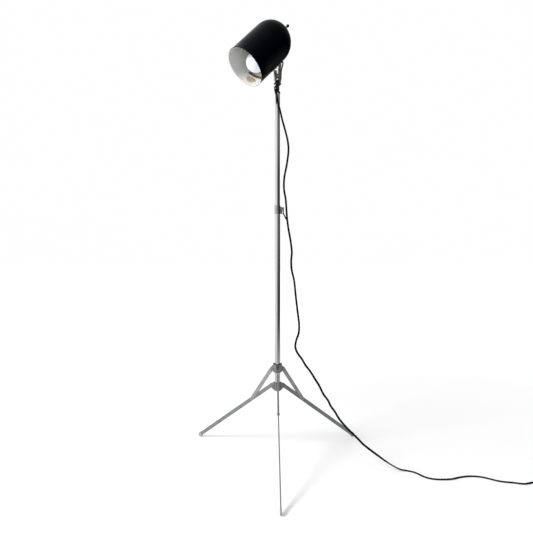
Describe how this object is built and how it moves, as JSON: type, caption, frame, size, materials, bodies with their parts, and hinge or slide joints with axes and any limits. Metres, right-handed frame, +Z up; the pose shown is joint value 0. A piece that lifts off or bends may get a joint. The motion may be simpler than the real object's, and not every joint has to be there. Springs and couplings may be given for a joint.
{
  "type": "tripod floor lamp",
  "caption": "Floor lamp with a fold-up tripod, a telescopic mast and a deep black shade held by a spring clamp, with its cord and plug.",
  "frame": {"origin": "centre of the lamp's footprint on the floor, without its cord", "axes": "+Z up along the mast, front leg towards -Y, +X to the right seen from the front"},
  "size_m": [1.2175, 0.5402, 1.5444],
  "materials": {
    "chrome_plate": "polished plating",
    "zinc_plate": "satin zinc",
    "bright_steel": "bright plated",
    "dark_steel": "blackened",
    "black_plastic": "moulded",
    "black_rubber": "matt",
    "grey_rubber": "matt",
    "pale_nylon": "moulded",
    "black_enamel": "high gloss",
    "frosted_glass": "frosted",
    "brass": "bright",
    "copper_foil": "satin foil",
    "cord_sheath": "smooth"
  },
  "bodies": {
    "base": {"lower_tube": "chrome_plate", "tube_end_plug": "black_plastic", "leg_hub": "bright_steel", "leg_pin_front": "bright_steel", "leg_pin_right": "bright_steel", "leg_pin_left": "bright_steel", "lock_collar": "bright_steel", "lock_rivet": "bright_steel", "cord_tube": "cord_sheath", "cord_coil": "cord_sheath", "cord_tie": "black_plastic", "plug_body": "black_plastic", "plug_blade_1": "brass", "plug_blade_2": "brass"},
    "collar": {"brace_collar": "bright_steel", "collar_lock_clip": "dark_steel", "collar_pin_front": "bright_steel", "collar_pin_right": "bright_steel", "collar_pin_left": "bright_steel"},
    "mast_lock": {"lock_lever": "black_plastic"},
    "upper_mast": {"upper_tube": "chrome_plate", "guide_bush": "pale_nylon", "top_stud": "dark_steel", "cord_wrap": "cord_sheath"},
    "clamp": {"clamp_arm": "bright_steel", "arm_jaw_tip": "black_rubber", "clamp_pin": "bright_steel", "tilt_rivet": "bright_steel", "clamp_spring": "dark_steel", "cord_lead": "cord_sheath"},
    "clamp_grip": {"clamp_handle": "bright_steel", "handle_jaw_tip": "black_rubber"},
    "shade": {"shade": "black_enamel", "shade_bracket": "bright_steel", "bracket_screw_1": "bright_steel", "bracket_screw_2": "bright_steel", "cord_grommet": "black_rubber", "socket_nipple": "brass", "apex_nut": "black_plastic", "socket_body": "black_plastic", "bulb_base": "bright_steel", "bulb_glass": "frosted_glass", "switch_body": "black_plastic", "switch_nut": "chrome_plate", "shade_label": "copper_foil", "rating_strip": "brass"},
    "switch_lever": {"switch_stem": "chrome_plate", "switch_knob": "black_plastic"},
    "front_leg": {"leg_front": "zinc_plate", "foot_tip_front": "grey_rubber", "brace_rivet_front": "bright_steel"},
    "front_brace": {"brace_front": "bright_steel"},
    "right_leg": {"leg_right": "zinc_plate", "foot_tip_right": "grey_rubber", "brace_rivet_right": "bright_steel"},
    "right_brace": {"brace_right": "bright_steel"},
    "left_leg": {"leg_left": "zinc_plate", "foot_tip_left": "grey_rubber", "brace_rivet_left": "bright_steel"},
    "left_brace": {"brace_left": "bright_steel"}
  },
  "joints": [
    {"name": "leg_front_fold", "type": "hinge", "parent": "base", "child": "front_leg", "pos_m": [0, 0.06437, 0.252], "axis": [-1, 0, 0], "range_deg": [0, 125]},
    {"name": "brace_front_turn", "type": "hinge", "parent": "front_leg", "child": "front_brace", "pos_m": [0, -0.01982, 0.18925], "axis": [1, 0, 0], "range_deg": [0, 158]},
    {"name": "leg_right_fold", "type": "hinge", "parent": "base", "child": "right_leg", "pos_m": [0.02079, 0.10037, 0.252], "axis": [0.5, -0.866, 0], "range_deg": [0, 125]},
    {"name": "brace_right_turn", "type": "hinge", "parent": "right_leg", "child": "right_brace", "pos_m": [0.09369, 0.14246, 0.18925], "axis": [-0.5, 0.866, 0], "range_deg": [0, 158]},
    {"name": "leg_left_fold", "type": "hinge", "parent": "base", "child": "left_leg", "pos_m": [-0.02079, 0.10037, 0.252], "axis": [0.5, 0.866, 0], "range_deg": [0, 125]},
    {"name": "brace_left_turn", "type": "hinge", "parent": "left_leg", "child": "left_brace", "pos_m": [-0.09369, 0.14246, 0.18925], "axis": [-0.5, -0.866, 0], "range_deg": [0, 158]},
    {"name": "collar_slide", "type": "slide", "parent": "base", "child": "collar", "axis": [0, 0, 1], "range_m": [0, 0.1944]},
    {"name": "lock_lever_turn", "type": "hinge", "parent": "base", "child": "mast_lock", "pos_m": [0.0139, 0.08837, 0.887], "axis": [0, -1, 0], "range_deg": [0, 80]},
    {"name": "mast_slide", "type": "slide", "parent": "base", "child": "upper_mast", "axis": [0, 0, 1], "range_m": [-0.385, 0.15], "deforming": ["cord_tube"]},
    {"name": "clamp_swivel", "type": "hinge", "parent": "upper_mast", "child": "clamp", "pos_m": [0, 0.08837, 1.332], "axis": [0, 0, 1], "range_deg": [-120, 120], "deforming": ["cord_wrap"]},
    {"name": "clamp_open", "type": "hinge", "parent": "clamp", "child": "clamp_grip", "pos_m": [-0.00045, 0.08815, 1.362], "axis": [-0.436, 0.8999, 0], "range_deg": [0, 18], "stiffness_Nm_per_rad": 1, "springref_deg": -20.05, "deforming": ["clamp_spring"]},
    {"name": "shade_tilt", "type": "hinge", "parent": "clamp", "child": "shade", "pos_m": [0.009, 0.09273, 1.4003], "axis": [-0.436, 0.8999, 0], "range_deg": [0, 85], "deforming": ["cord_lead"]},
    {"name": "switch_turn", "type": "hinge", "parent": "shade", "child": "switch_lever", "pos_m": [0.02694, 0.05255, 1.51118], "axis": [0.6618, 0.3206, -0.6776], "range_deg": [0, 24]}
  ],
  "couplings": [
    {"joint": "brace_front_turn", "follows": "leg_front_fold", "ratio": 1.2636},
    {"joint": "leg_right_fold", "follows": "leg_front_fold", "ratio": 1},
    {"joint": "brace_right_turn", "follows": "leg_front_fold", "ratio": 1.2636},
    {"joint": "leg_left_fold", "follows": "leg_front_fold", "ratio": 1},
    {"joint": "brace_left_turn", "follows": "leg_front_fold", "ratio": 1.2636},
    {"joint": "collar_slide", "follows": "leg_front_fold", "m_per_rad": 0.089085}
  ]
}
